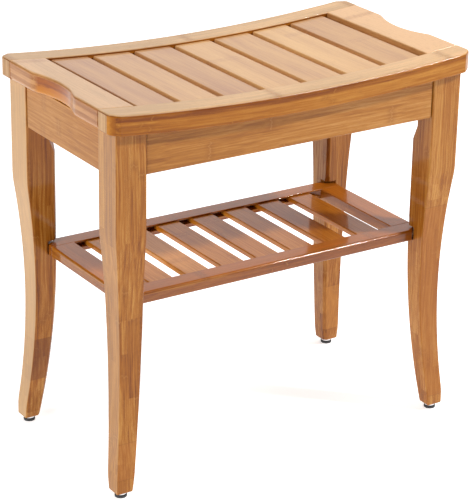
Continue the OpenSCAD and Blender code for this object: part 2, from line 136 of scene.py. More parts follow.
def corner_arc(before, corner, after, radius, steps):
    """Points of the fillet that rounds one corner of an outline."""
    to_before = (before - corner).normalized()
    to_after = (after - corner).normalized()
    half = math.acos(max(-1, min(1, to_before.dot(to_after)))) / 2
    reach = 0.49 * min((before - corner).length, (after - corner).length)
    run = min(radius / math.tan(half), reach)
    radius = run * math.tan(half)
    centre = corner + (to_before + to_after).normalized() * (radius / math.sin(half))
    start, end = corner + to_before * run - centre, corner + to_after * run - centre
    turn = start.angle_signed(end)
    points = []
    for i in range(steps + 1):
        angle = -turn * i / steps
        c, s = math.cos(angle), math.sin(angle)
        points.append(centre + Vector((c * start.x - s * start.y, s * start.x + c * start.y)))
    return points


def rounded(outline, radii, steps=4):
    """An outline with each corner rounded by its radius."""
    corners = [Vector(p) for p in outline]
    points = []
    for i, corner in enumerate(corners):
        before, after = corners[i - 1], corners[(i + 1) % len(corners)]
        points += corner_arc(before, corner, after, radii[i], steps)
    return points


def bar_section(b0, b1, c0, c1, radii, inset=0.0, steps=4):
    """A rounded rectangle, pulled in all round by an inset; radii start at (b0, c0) and run round."""
    b0, b1, c0, c1 = b0 + inset, b1 - inset, c0 + inset, c1 - inset
    radii = [max(r - inset, 0.2 * MM) for r in radii]
    return rounded([(b0, c0), (b1, c0), (b1, c1), (b0, c1)], radii, steps)


def end_stations(length, radius, steps=4):
    """(distance from the middle, inset) from a rounded end inwards."""
    stations = []
    for i in range(steps + 1):
        angle = math.pi / 2 * (1 - i / steps)
        stations.append((length - radius * (1 - math.sin(angle)), radius * (1 - math.cos(angle))))
    return stations


def along(length, radius, pitch):
    """(place, inset) from one rounded end to the other, with stations at most a pitch apart."""
    end = end_stations(length, radius)
    inner = length - radius
    count = max(1, math.ceil(2 * inner / pitch))
    middle = [(-inner + 2 * inner * i / count, 0.0) for i in range(1, count)]
    return [(-a, e) for a, e in end] + middle + list(reversed(end))


def smooth_positive(value, softness):
    """max(value, 0) with its kink rounded."""
    near = max(softness - abs(value), 0) / softness
    return max(value, 0) + near * near * softness / 4


def make_mesh(name, points, faces, grain=None, character=(0.0, 0.0)):
    """A clean mesh object; grain holds each point's place in the board, character its seed and tone."""
    mesh = bpy.data.meshes.new(name)
    mesh.from_pydata(points, [], faces)
    if grain is not None:
        attribute = mesh.attributes.new("Grain", "FLOAT_VECTOR", "POINT")
        attribute.data.foreach_set("vector", [v / MM for point in grain for v in point])
    for key, value in zip(("Seed", "Tone"), character):
        mesh.attributes.new(key, "FLOAT", "POINT").data.foreach_set("value", [value] * len(points))
    work = bmesh.new()
    work.from_mesh(mesh)
    bmesh.ops.remove_doubles(work, verts=work.verts, dist=SAME_POINT)
    bmesh.ops.recalc_face_normals(work, faces=work.faces)
    work.to_mesh(mesh)
    work.free()
    mesh.shade_smooth()
    mesh.set_sharp_from_angle(angle=SHARP_ANGLE)
    piece = bpy.data.objects.new(name, mesh)
    bpy.context.scene.collection.objects.link(piece)
    weighted = piece.modifiers.new("weighted_normals", "WEIGHTED_NORMAL")
    weighted.keep_sharp = True
    return piece


def loft(name, rings, place, character):
    """A closed solid through rings of board points (along, across, thickness), capped at both ends."""
    size = len(rings[0])
    board_points = [point for ring in rings for point in ring]
    faces = []
    for r in range(len(rings) - 1):
        for i in range(size):
            j = (i + 1) % size
            low, high = r * size, (r + 1) * size
            faces.append((low + i, low + j, high + j, high + i))
    faces.append(tuple(range(size)))
    faces.append(tuple(range((len(rings) - 1) * size, len(rings) * size)))
    return make_mesh(name, [place(*p) for p in board_points], faces, board_points, character)


def spun(name, profile, steps=48, radius_of=None):
    """A turned solid about Z from (radius, height) points; radius_of may change a point's radius."""
    points, faces = [], []
    rows = len(profile)
    for r, z in profile:
        for i in range(steps):
            angle = 2 * math.pi * i / steps
            reach = radius_of(r, z, angle) if radius_of else r
            points.append((reach * math.cos(angle), reach * math.sin(angle), z))
    for row in range(rows - 1):
        low, high = row * steps, (row + 1) * steps
        for i in range(steps):
            j = (i + 1) % steps
            faces.append((low + i, low + j, high + j, high + i))
    faces.append(tuple(range(steps)))
    faces.append(tuple(range((rows - 1) * steps, rows * steps)))
    return make_mesh(name, points, faces)


def finish_piece(piece, material, slot, body, *nodes):
    """Gives a piece its material and its body, and hides the CAD node that it stands for; slot is not
    used.
    """
    piece.data.materials.clear()
    piece.data.materials.append(material)
    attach(piece, body)
    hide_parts(*nodes)


# ---------------------------------------------------------------- materials


class Nodes:
    """Short names for adding shader nodes to one material."""

    def __init__(self, name):
        self.material = bpy.data.materials.new(name)
        self.material.use_nodes = True
        self.tree = self.material.node_tree
        self.shader = self.tree.nodes["Principled BSDF"]

    def add(self, kind, **settings):
        node = self.tree.nodes.new(kind)
        for key, value in settings.items():
            setattr(node, key, value)
        return node

    def join(self, source, target):
        self.tree.links.new(source, target)

    def put(self, value, target):
        if isinstance(value, bpy.types.NodeSocket):
            self.join(value, target)
        else:
            target.default_value = value

    def math(self, operation, first, second=0.0, clamp=False):
        node = self.add("ShaderNodeMath", operation=operation, use_clamp=clamp)
        self.put(first, node.inputs[0])
        self.put(second, node.inputs[1])
        return node.outputs[0]

    def combine(self, x, y, z):
        node = self.add("ShaderNodeCombineXYZ")
        for value, target in zip((x, y, z), node.inputs):
            self.put(value, target)
        return node.outputs[0]

    def noise(self, vector, detail=2.0, roughness=0.5, distortion=0.0):
        node = self.add("ShaderNodeTexNoise")
        self.join(vector, node.inputs["Vector"])
        node.inputs["Scale"].default_value = 1.0
        node.inputs["Detail"].default_value = detail
        node.inputs["Roughness"].default_value = roughness
        node.inputs["Distortion"].default_value = distortion
        return node.outputs["Fac"]

    def random(self, vector):
        node = self.add("ShaderNodeTexWhiteNoise", noise_dimensions="3D")
        self.join(vector, node.inputs["Vector"])
        return node.outputs["Value"]

    def span(self, value, low, high, to_low=0.0, to_high=1.0):
        node = self.add("ShaderNodeMapRange", clamp=True)
        self.join(value, node.inputs["Value"])
        for key, number in zip(("From Min", "From Max", "To Min", "To Max"), (low, high, to_low, to_high)):
            node.inputs[key].default_value = number
        return node.outputs["Result"]

    def ramp(self, value, stops):
        node = self.add("ShaderNodeValToRGB")
        band = node.color_ramp
        while len(band.elements) < len(stops):
            band.elements.new(0.5)
        for element, (place, colour) in zip(band.elements, stops):
            element.position = place
            element.color = (*colour, 1.0)
        self.join(value, node.inputs["Fac"])
        return node.outputs["Color"]

    def mix(self, factor, first, second, blend="MIX"):
        node = self.add("ShaderNodeMix", data_type="RGBA", blend_type=blend)
        self.put(factor, node.inputs[0])
        for value, target in ((first, node.inputs[6]), (second, node.inputs[7])):
            self.put(value if isinstance(value, bpy.types.NodeSocket) else (*value, 1.0), target)
        return node.outputs[2]

    def bump(self, height, strength, distance):
        node = self.add("ShaderNodeBump")
        node.inputs["Strength"].default_value = strength
        node.inputs["Distance"].default_value = distance
        self.join(height, node.inputs["Height"])
        self.join(node.outputs["Normal"], self.shader.inputs["Normal"])

    def scaled(self, values, scales):
        """A vector of values, each times its scale."""
        return self.combine(*(self.math("MULTIPLY", v, scale) for v, scale in zip(values, scales)))

    def object_space(self, scale, turn=0.0):
        """The piece's own coordinates, turned about Z and scaled."""
        mapping = self.add("ShaderNodeMapping")
        mapping.inputs["Scale"].default_value = scale
        mapping.inputs["Rotation"].default_value = (0, 0, turn)
        self.join(self.add("ShaderNodeTexCoord").outputs["Object"], mapping.inputs["Vector"])
        return mapping.outputs[0]

    def across_x(self):
        """How squarely a face looks along X, 0 to 1."""
        parts = self.add("ShaderNodeSeparateXYZ")
        self.join(self.add("ShaderNodeTexCoord").outputs["Normal"], parts.inputs[0])
        return self.math("ABSOLUTE", parts.outputs[0])

    def between(self, value, low, high, soft=0.3):
        """1 where a value lies between two limits, 0 outside."""
        rise = self.span(value, low - soft, low + soft)
        fall = self.span(value, high - soft, high + soft, 1.0, 0.0)
        return self.math("MULTIPLY", rise, fall)

    def finish(self, values):
        for key, value in values.items():
            self.shader.inputs[key].default_value = value


# The grain's scales, per millimetre along, across and through a board
BAND_SCALE = (0.006, 0.05, 0.05)
STREAK_SCALE = (0.011, 0.42, 0.42)
FIBRE_SCALE = (0.05, 2.3, 2.3)
VESSEL_SCALE = (0.11, 1.5, 1.5)
WANDER_SCALE = 0.02
NODE_WAVE_SCALE = (0.0, 0.3, 0.3)

# Each noise's window, and how far it moves the tone, which runs from 0 (brown) to 1 (pale)
BAND_TONE = (0.3, 0.7, 0.17)
STREAK_TONE = (0.3, 0.72, 0.26)
FIBRE_TONE = (0.25, 0.75, 0.15)
STRIP_TONE = 0.34

# How far streaks wander across the grain and nodes along it, and half a board's length, in millimetres
WANDER = 5.0
NODE_WAVE = 9.0
HALF_BOARD = 190.0

# Factors that spread the seeds, so that no two boards or strips line up
STRIP_SEED = 13.7
NOISE_SEED = 31.0
BLOCK_SEED = 7.0
NODE_SEED = 5.3

# Ends of a span of millimetres or noise, and the strength of the mark at those ends
VESSEL_MARK = (0.62, 0.74, 0.0, 0.4)
NODE_PATCH = (1.5, 8.0, 0.34, 0.0)
NODE_LINE = (0.4, 1.3, 0.35, 0.0)
# Painted light: where the top face's paler colour takes over, and how the tone scales it.
PAINTED_TOP_FACE = (-1.5, -0.5, 0.0, 0.9)
PAINTED_TOP_TONE = (0.0, 1.0, 0.72, 1.22)

BAMBOO_ROUGHNESS = (0.32, 0.42)
BAMBOO_BUMP = 0.35
BAMBOO_BUMP_DEPTH = 0.16 * MM


def strip_number(n, place, seed, strip_b, strip_c, block):
    """A random number from 0 to 1 for each strip of the lamination, and for each block along it."""
    a, b, c = place
    shift = n.math("MULTIPLY", seed, STRIP_SEED)
    column = n.math("FLOOR", n.math("ADD", n.math("DIVIDE", b, strip_b), shift))
    layer = n.math("FLOOR", n.math("ADD", n.math("DIVIDE", c, strip_c), shift))
    strip = n.random(n.combine(column, layer, seed))
    if not block:
        return strip
    reach = n.math("ADD", n.math("DIVIDE", a, block), n.math("MULTIPLY", strip, BLOCK_SEED))
    piece = n.math("FLOOR", reach)
    return n.random(n.combine(n.math("ADD", column, piece), layer, n.math("ADD", seed, piece)))


def grain_noises(n, place, seed, strip):
    """Slow bands, streaks and fine fibres, all drawn out along the grain."""
    a, b, c = place
    far_seed = n.math("MULTIPLY", seed, NOISE_SEED)
    band_a, band_b, band_c = BAND_SCALE
    band = n.noise(n.combine(n.math("ADD", n.math("MULTIPLY", a, band_a), far_seed),
                             n.math("MULTIPLY", b, band_b), n.math("MULTIPLY", c, band_c)), 2.0)
    wander = n.noise(n.combine(n.math("MULTIPLY", a, WANDER_SCALE), far_seed, seed), 1.0)
    wandering_b = n.math("ADD", b, n.math("MULTIPLY", wander, WANDER))
    streak_a, streak_b, streak_c = STREAK_SCALE
    streak = n.noise(n.combine(n.math("ADD", n.math("MULTIPLY", a, streak_a), strip),
                               n.math("ADD", n.math("MULTIPLY", wandering_b, streak_b), far_seed),
                               n.math("MULTIPLY", c, streak_c)), 3.0, 0.62)
    fibre = n.noise(n.scaled(place, FIBRE_SCALE), 3.0, 0.7)
    return band, streak, fibre


def toned(n, tone, value, low, high, amount):
    """The tone, less an amount where a value is low and more by it where the value is high."""
    return n.math("ADD", tone, n.span(value, low, high, -amount, amount))


def layer_toned(n, tone, c, layers):
    """The tone, moved by the layers through the thickness."""
    bottom, reach = layers[0][0], layers[-1][0] - layers[0][0]
    stops = [((level - bottom) / reach, (grey, grey, grey)) for level, grey in layers]
    depth = n.span(c, bottom, bottom + reach)
    return n.math("ADD", tone, n.math("SUBTRACT", n.ramp(depth, stops), 0.5))


def cane_nodes(n, place, seed, strip, pitch, pale, brown, colour):
    """Nodes of the cane: a thin pale line with a darker patch beside it, once in each strip's pitch."""
    wave = n.noise(n.scaled(place, NODE_WAVE_SCALE), 1.0)
    waving_a = n.math("ADD", place[0], n.math("MULTIPLY", wave, NODE_WAVE))
    turn = n.math("ADD", n.math("DIVIDE", waving_a, pitch),
                  n.math("ADD", n.math("MULTIPLY", strip, NODE_SEED), seed))
    off_node = n.math("ABSOLUTE", n.math("SUBTRACT", n.math("FRACT", turn), 0.5))
    beside = n.math("MULTIPLY", off_node, pitch)
    colour = n.mix(n.span(beside, *NODE_PATCH), colour, brown)
    return n.mix(n.span(beside, *NODE_LINE), colour, pale)


def bamboo(name, pale, honey, brown, strip_b, strip_c, block=0.0, tone_spread=1.0, node_pitch=230.0,
           streaks=1.0, top=None, layers=None, slope=0.0, coat=0.5, extra=None):
    """Lacquered strip-laminated bamboo.

    pale, honey and brown are the tones of its strips. strip_b and strip_c are the strips' width and
    thickness, and block the length between finger joints, all in millimetres. top is painted light: a
    colour for the top face, paler where the light falls on it. layers are the tones through the
    thickness, slope the change of tone from one end of the board to the other, coat the weight of the
    lacquer, and extra a function that marks the colour further.
    """
    n = Nodes(name)
    seed = n.add("ShaderNodeAttribute", attribute_name="Seed").outputs["Fac"]
    own_tone = n.add("ShaderNodeAttribute", attribute_name="Tone").outputs["Fac"]
    parts = n.add("ShaderNodeSeparateXYZ")
    n.join(n.add("ShaderNodeAttribute", attribute_name="Grain").outputs["Vector"], parts.inputs[0])
    place = tuple(parts.outputs)
    a, _, c = place
    strip = strip_number(n, place, seed, strip_b, strip_c, block)
    band, streak, fibre = grain_noises(n, place, seed, strip)

    spread = STRIP_TONE * tone_spread
    tone = n.math("ADD", n.span(strip, 0.0, 1.0, 0.5 - spread, 0.5 + spread), own_tone)
    tone = toned(n, tone, band, *BAND_TONE)
    streak_low, streak_high, streak_amount = STREAK_TONE
    tone = toned(n, tone, streak, streak_low, streak_high, streak_amount * streaks)
    tone = toned(n, tone, fibre, *FIBRE_TONE)
    if slope:
        tone = toned(n, tone, a, -HALF_BOARD, HALF_BOARD, slope)
    if layers:
        tone = layer_toned(n, tone, c, layers)
    tone = n.math("ADD", tone, 0.0, clamp=True)

    colour = n.ramp(tone, [(0.0, brown), (0.5, honey), (1.0, pale)])
    # Painted light: the top face takes the paler top colour, scaled by the tone.
    if top:
        light = n.span(tone, *PAINTED_TOP_TONE)
        painted_top_colour = n.mix(1.0, top, n.combine(light, light, light), "MULTIPLY")
        colour = n.mix(n.span(c, *PAINTED_TOP_FACE), colour, painted_top_colour)
    vessel = n.noise(n.scaled(place, VESSEL_SCALE), 1.0)
    colour = n.mix(n.span(vessel, *VESSEL_MARK), colour, brown)
    colour = cane_nodes(n, place, seed, strip, node_pitch, pale, brown, colour)
    if extra:
        colour = extra(n, place, seed, streak, colour)
    n.join(colour, n.shader.inputs["Base Color"])

    n.join(n.span(fibre, 0.2, 0.8, *BAMBOO_ROUGHNESS), n.shader.inputs["Roughness"])
    relief = n.math("ADD", n.math("MULTIPLY", fibre, 0.5), n.math("MULTIPLY", streak, 2.5))
    n.bump(relief, BAMBOO_BUMP, BAMBOO_BUMP_DEPTH)
    n.finish({"Specular IOR Level": 0.12, "Coat Weight": coat, "Coat Roughness": 0.08, "Coat IOR": 1.5})
    return n.material


# Where the painted shade and reflection on the finger recess's wall lie, and where the rails' cut corners
# and end grain are marked, in board millimetres: each is where the mark starts and where it is full
RECESS_INNER = (200.0, 215.0)
RECESS_OUTER = (231.5, 233.5)
RECESS_TOP_EDGE = (-3.6, -2.6)
RECESS_SHADE_RISE = (-42.0, -14.0)
RECESS_SHADE_LEVELS = (-18.0, 2.0)
RECESS_SHADE_RAMP = [(0.0, (0.52, 0.19, 0.006)), (0.50, (0.44, 0.13, 0.003)), (0.62, (0.22, 0.045, 0.001)),
               (0.80, (0.34, 0.085, 0.002)), (1.0, (0.24, 0.055, 0.002))]
FACET_X = (228.2, 234.7)
FACET_Y = (115.0, 117.0)
FACET_LEVELS = (227.5, 235.0, 0.0, 0.6)
FACET_POOL = [(0.1, (0.20, 0.05, 0.003)), (0.45, (0.33, 0.10, 0.004)), (0.8, (0.50, 0.20, 0.02))]
RAIL_TOP_EDGE = (-2.4, -1.4)
RAIL_END_X = (234.7, 234.9)
END_GRAIN = [(0.35, (0.40, 0.21, 0.08)), (0.65, (0.62, 0.40, 0.20))]


def recess_painted_shade(n, place, seed, streak, colour):
    """Painted shade and reflection on the wall of the finger recess: deep orange towards the back, in
    darker bands.
    """
    a, b, c = place
    # Painted shade and reflection: the recess wall is coloured by height and along the recess, not by the
    # wood.
    wall = n.math("MULTIPLY", n.span(b, *RECESS_OUTER, 1.0, 0.0), n.span(c, *RECESS_TOP_EDGE, 1.0, 0.0))
    wall = n.math("MULTIPLY", wall, n.span(b, *RECESS_INNER))
    wall = n.math("MULTIPLY", wall, n.span(a, *RECESS_SHADE_RISE, 0.0, 0.95))
    level = n.math("ADD", c, n.math("MULTIPLY", streak, 9.0))
    return n.mix(wall, colour, n.ramp(n.span(level, *RECESS_SHADE_LEVELS), RECESS_SHADE_RAMP))


def corner_varnish(n, place, seed, streak, colour):
    """The rails' cut corners, deep orange with lacquer, and their pale end grain."""
    a, b, c = place
    reach = n.math("ABSOLUTE", a)
    edge = n.span(c, *RAIL_TOP_EDGE, 1.0, 0.0)
    facet = n.math("MULTIPLY", n.between(reach, *FACET_X, 0.2), n.span(b, *FACET_Y))
    facet = n.math("MULTIPLY", facet, edge)
    level = n.math("ADD", n.span(reach, *FACET_LEVELS), n.math("MULTIPLY", streak, 0.4))
    colour = n.mix(n.math("MULTIPLY", facet, 0.85), colour, n.ramp(level, FACET_POOL))
    end = n.math("MULTIPLY", n.span(reach, *RAIL_END_X), edge)
    lines = n.noise(n.combine(0.5, n.math("MULTIPLY", b, 0.9), seed), 2.0)
    return n.mix(n.math("MULTIPLY", end, 0.8), colour, n.ramp(lines, END_GRAIN))


# Seed and tone of each leg's grain
LEG_CHARACTERS = {
    "front_left": (0.21, 0.0),
    "front_right": (0.47, 0.12),
    "back_left": (0.83, 0.08),
    "back_right": (0.64, 0.06),
}
# Leg, the block's lower and upper end in millimetres, its tint and the tint's strength
LEG_BLOCKS = (
    ("back_left", 59, 112, (0.17, 0.045, 0.008), 0.62),
    ("front_right", 20, 264, (0.33, 0.10, 0.010), 0.45),
    ("front_left", 24, 66, (0.36, 0.12, 0.02), 0.35),
    ("back_right", 24, 88, (0.50, 0.20, 0.03), 0.45),
)
JOINT_COLOUR = (0.12, 0.035, 0.006)
JOINT_STRENGTH = 0.4
JOINT_HALF_WIDTH = 0.3
# Painted light on the legs' outer faces across X: where it starts in millimetres, and its colour
LIT_OUTER_FACE_X = (206.0, 210.0)
PAINTED_LIGHT_COLOUR = (0.68, 0.45, 0.23)
FACES_X = (0.6, 0.85)


def on_leg(n, seed, corner, margin=0.02):
    """1 on the named leg, 0 on the others."""
    leg_seed = LEG_CHARACTERS[corner][0]
    return n.between(seed, leg_seed - margin, leg_seed + margin, 0.005)


def painted_light_outer_face(n, b, seed, colour):
    """Painted light: the legs' outer faces across X painted paler, the back left leg's most."""
    face = n.span(n.across_x(), *FACES_X)
    face = n.math("MULTIPLY", face, n.span(b, *LIT_OUTER_FACE_X))
    amount = n.math("ADD", n.math("MULTIPLY", on_leg(n, seed, "back_left"), 0.35), 0.22)
    return n.mix(n.math("MULTIPLY", face, amount), colour, PAINTED_LIGHT_COLOUR)


def leg_blocks(n, place, seed, streak, colour):
    """The finger-jointed blocks on the legs' faces across Y: a change of tone with a thin dark joint."""
    a, b, _ = place
    # Painted light first: the outer faces across X are painted paler.
    colour = painted_light_outer_face(n, b, seed, colour)
    shown = n.span(n.across_x(), *FACES_X, 1.0, 0.12)
    for corner, low, high, tint, strength in LEG_BLOCKS:
        own = n.math("MULTIPLY", on_leg(n, seed, corner), shown)
        block = n.math("MULTIPLY", n.between(a, low, high), own)
        colour = n.mix(n.math("MULTIPLY", block, strength), colour, tint)
        for joint in (low, high):
            line = n.between(a, joint - JOINT_HALF_WIDTH, joint + JOINT_HALF_WIDTH)
            line = n.math("MULTIPLY", n.math("MULTIPLY", line, own), JOINT_STRENGTH)
            colour = n.mix(line, colour, JOINT_COLOUR)
    return colour


def plain_wood(name, pale, brown):
    """Unlacquered wood of the hidden blocks and dowels, which takes its grain from the object's space."""
    n = Nodes(name)
    fibre = n.noise(n.object_space((60, 420, 420), math.radians(45)), 4.0, 0.6, 0.4)
    n.join(n.ramp(fibre, [(0.3, brown), (0.7, pale)]), n.shader.inputs["Base Color"])
    n.join(n.span(fibre, 0.2, 0.8, 0.5, 0.7), n.shader.inputs["Roughness"])
    n.bump(fibre, 0.3, 0.2 * MM)
    return n.material


def metal(name, dark, light, roughness, brushed=0.15):
    """Plated or machined metal with fine wear."""
    n = Nodes(name)
    fine = n.noise(n.object_space((900, 900, 2600)), 4.0, 0.65)
    n.join(n.ramp(fine, [(0.3, dark), (0.7, light)]), n.shader.inputs["Base Color"])
    n.join(n.span(fine, 0.2, 0.8, roughness - 0.06, roughness + 0.12), n.shader.inputs["Roughness"])
    n.bump(fine, brushed, 0.04 * MM)
    n.finish({"Metallic": 1.0})
    return n.material


def moulded_plastic(name, dark, light):
    """Dark moulded plastic with a faint grain."""
    n = Nodes(name)
    fine = n.noise(n.object_space((1500, 1500, 1500)), 3.0)
    n.join(n.ramp(fine, [(0.3, dark), (0.7, light)]), n.shader.inputs["Base Color"])
    n.join(n.span(fine, 0.2, 0.8, 0.4, 0.6), n.shader.inputs["Roughness"])
    n.bump(fine, 0.3, 0.05 * MM)
    return n.material


# Height below the top face in millimetres, and the tone there
RAIL_LAYERS = (
    (-22.5, 0.50), (-15.0, 0.46), (-11.5, 0.50), (-10.5, 0.70), (-8.5, 0.62), (-7.0, 0.22), (0.0, 0.20),
)
BOARD_LAYERS = (
    (-22.5, 0.62), (-18.0, 0.58), (-17.5, 0.36), (-13.5, 0.40), (-13.0, 0.66), (-9.0, 0.62),
    (-8.5, 0.40), (-4.5, 0.44), (0.0, 0.60),
)

# The top colours below are painted light on the top faces; the end boards' recess wall gets painted shade
# and reflection.
RAIL_WOOD = bamboo(
    "rail_bamboo", (0.47, 0.198, 0.028), (0.345, 0.112, 0.007), (0.18, 0.042, 0.002),
    strip_b=90, strip_c=5.5, tone_spread=0.3, streaks=1.1, slope=0.16, coat=0.2,
    top=(0.72, 0.45, 0.225), layers=RAIL_LAYERS, extra=corner_varnish)
BOARD_WOOD = bamboo(
    "end_board_bamboo", (0.58, 0.30, 0.11), (0.44, 0.19, 0.06), (0.26, 0.08, 0.012),
    strip_b=90, strip_c=4.6, tone_spread=0.3, streaks=0.7,
    top=(0.58, 0.335, 0.155), layers=BOARD_LAYERS, extra=recess_painted_shade)
SEAT_SLAT_WOOD = bamboo(
    "seat_slat_bamboo", (0.67, 0.385, 0.15), (0.54, 0.285, 0.11), (0.37, 0.165, 0.075),
    strip_b=60, strip_c=20, tone_spread=0.0, node_pitch=310, streaks=0.7)
LEG_WOOD = bamboo(
    "leg_bamboo", (0.49, 0.225, 0.048), (0.33, 0.110, 0.010), (0.16, 0.038, 0.003),
    strip_b=8.6, strip_c=9.2, block=330, tone_spread=0.6, node_pitch=260, streaks=1.5, coat=0.3,
    extra=leg_blocks)
APRON_WOOD = bamboo(
    "apron_bamboo", (0.52, 0.25, 0.066), (0.385, 0.148, 0.021), (0.22, 0.065, 0.007),
    strip_b=20, strip_c=19, tone_spread=0.15, node_pitch=240, streaks=1.25, slope=0.14, coat=0.3)
SHELF_RAIL_WOOD = bamboo(
    "shelf_rail_bamboo", (0.42, 0.165, 0.022), (0.24, 0.062, 0.003), (0.13, 0.027, 0.001),
    strip_b=60, strip_c=4.2, tone_spread=0.5, top=(0.40, 0.115, 0.006), coat=0.65)
SHELF_SLAT_WOOD = bamboo(
    "shelf_slat_bamboo", (0.62, 0.265, 0.048), (0.45, 0.155, 0.010), (0.28, 0.070, 0.002),
    strip_b=60, strip_c=20, tone_spread=0.0, node_pitch=280, coat=0.55)
BLOCK_WOOD = plain_wood("block_wood", (0.62, 0.40, 0.20), (0.45, 0.25, 0.10))
DOWEL_WOOD = plain_wood("dowel_wood", (0.66, 0.47, 0.28), (0.52, 0.34, 0.18))
ZINC = metal("zinc", (0.50, 0.51, 0.53), (0.68, 0.69, 0.71), 0.28)
DARK_STEEL = metal("dark_steel", (0.20, 0.20, 0.21), (0.34, 0.34, 0.35), 0.35)
BRASS = metal("brass", (0.60, 0.42, 0.16), (0.78, 0.58, 0.26), 0.25)
NICKEL = metal("nickel", (0.62, 0.63, 0.65), (0.80, 0.81, 0.83), 0.18, 0.08)
GLIDE_PLASTIC = moulded_plastic("glide_plastic", (0.020, 0.020, 0.023), (0.045, 0.045, 0.05))

# ---------------------------------------------------------------- seat

# Seed and tone of each board's grain, by side (-1 front or left, 1 back or right) or by number
RAIL_CHARACTERS = {-1: (0.04, 0.0), 1: (0.66, 0.0)}
BOARD_CHARACTERS = {-1: (0.28, -0.04), 1: (0.72, 0.40)}
SLAT_CHARACTERS = (
    (0.11, -0.28), (0.62, -0.02), (0.17, -0.22), (0.71, 0.10), (0.55, 0.0), (0.66, 0.25), (0.23, -0.05),
)


def wooden(node, rings, place, character, material, slot, kind="board"):
    """A lofted wooden piece in the place of one CAD node of the frame."""
    piece = loft(f"{node}_{kind}", rings, place, character)
    finish_piece(piece, material, slot, "frame", node)


def seat_rail(side):
    """The front or back rail: bent to the saddle, corners cut, edges rounded."""
    cut_start = HALF_L - CORNER_CUT_X
    top_outer, top_inner, bottom = 3 * MM, 1.2 * MM, 1.2 * MM
    end_round, pitch, kink = 2.2 * MM, 9 * MM, 0.8 * MM
    rings = []
    for x, inset in along(HALF_L, end_round, pitch):
        cut = smooth_positive(abs(x) - cut_start, kink) * CORNER_CUT_Y / CORNER_CUT_X
        section = bar_section(RAIL_IN_Y, RAIL_OUT_Y - cut, -RAIL_T, 0,
                              [bottom, bottom, top_outer, top_inner], inset, 5)
        rings.append([(x, b, c) for b, c in section])

    def place(x, b, c):
        return x, side * b, saddle(x, SADDLE_R - c)

    name = "seat_back_rail" if side > 0 else "seat_front_rail"
    wooden(name, rings, place, RAIL_CHARACTERS[side], RAIL_WOOD, "bamboo_seat_rail")


def with_tongues(rings, section, tongue):
    """Adds a tongue of that section beyond each end of a board that reaches to the rails."""
    low, low_in, high, high_in = [
        [(sign * y, b, c) for b, c in section] for sign in (-1, 1) for y in (tongue, RAIL_IN_Y)
    ]
    return [low, low_in, *rings, high_in, high]


def end_board(side):
    """An end board of the seat, with the finger recess in its end and its tongues."""
    recess_r = (RECESS_CHORD**2 / 4 + RECESS_DEPTH**2) / (2 * RECESS_DEPTH)
    kink = 1.2 * MM
    end_round, pitch = 0.5 * MM, 5 * MM
    edges = [1.5 * MM, 4.5 * MM, 3 * MM, 1.5 * MM]
    rings = []
    for y, inset in along(RAIL_IN_Y, end_round, pitch):
        bite = recess_r - math.sqrt(max(recess_r**2 - y**2, 0))
        outer = HALF_L - smooth_positive(RECESS_DEPTH - bite, kink)
        section = bar_section(BOARD_IN_X, outer, -RAIL_T, 0, edges, inset, 5)
        rings.append([(y, b, c) for b, c in section])
    tongue_end = BOARD_HI.y - 0.4 * MM
    tongue_out = BOARD_HI.x - 14.5 * MM
    tongue_low, tongue_high = -15.5 * MM, -10.5 * MM
    tongue = bar_section(BOARD_IN_X, tongue_out, tongue_low, tongue_high, [0.5 * MM] * 4, 0, 5)

    def place(y, b, c):
        return side * b, y, saddle(b, SADDLE_R - c)

    name = "seat_right_end_board" if side > 0 else "seat_left_end_board"
    rings = with_tongues(rings, tongue, tongue_end)
    wooden(name, rings, place, BOARD_CHARACTERS[side], BOARD_WOOD, "bamboo_end_board")


def seat_slat(number):
    """A seat slat with its tongues, tilted to the saddle."""
    name = f"seat_slat_{number}"
    low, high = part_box(name)
    half_w = (SLAT_HI.x - SLAT_LO.x) / 2
    thick = SLAT_HI.z - SLAT_LO.z
    tilt = math.asin((low.x + high.x) / 2 / (SLAT_R + thick / 2))
    under_tongue = (thick - 5 * MM) / 2
    bottom, top = 1 * MM, 1.8 * MM
    end_round, pitch = 1.2 * MM, 24 * MM
    rings = []
    for y, inset in along(RAIL_IN_Y, end_round, pitch):
        section = bar_section(-half_w, half_w, -thick, 0, [bottom, bottom, top, top], inset)
        rings.append([(y, b, c) for b, c in section])
    tongue = bar_section(-half_w, half_w, -thick + under_tongue, -under_tongue, [0.5 * MM] * 4)
    turn = Matrix.Rotation(-tilt, 3, "Y")

    def place(y, b, c):
        spot = turn @ Vector((b, 0, c - SLAT_R))
        return spot.x, y, SADDLE_Z + spot.z

    rings = with_tongues(rings, tongue, SLAT_HI.y)
    wooden(name, rings, place, SLAT_CHARACTERS[number - 1], SEAT_SLAT_WOOD, "bamboo_seat_slat")


for side in (-1, 1):
    seat_rail(side)
    end_board(side)
for number in range(1, 8):
    seat_slat(number)

# ---------------------------------------------------------------- aprons

# Seed and tone of each apron's grain, by side
LONG_APRON_CHARACTERS = {-1: (0.13, 0.0), 1: (0.67, 0.0)}
SHORT_APRON_CHARACTERS = {-1: (0.39, 0.1), 1: (0.81, 0.1)}
APRON_EDGES = [1.6 * MM, 1.6 * MM, SOFT_EDGE, SOFT_EDGE]


def long_apron(side):
    """The front or back apron, its top fitted to the seat's underside."""
    pitch = 12 * MM
    rings = []
    for x, inset in along(LONG_HI.x - JOINT_GAP, SOFT_EDGE, pitch):
        top = saddle(x, UNDER_R) - APRON_Z
        section = bar_section(LONG_LO.y, LONG_HI.y, 0, top, APRON_EDGES, inset)
        rings.append([(x, b, c) for b, c in section])

    def place(x, b, c):
        return x, side * b, APRON_Z + c

    name = "back_apron" if side > 0 else "front_apron"
    wooden(name, rings, place, LONG_APRON_CHARACTERS[side], APRON_WOOD, "bamboo_apron")


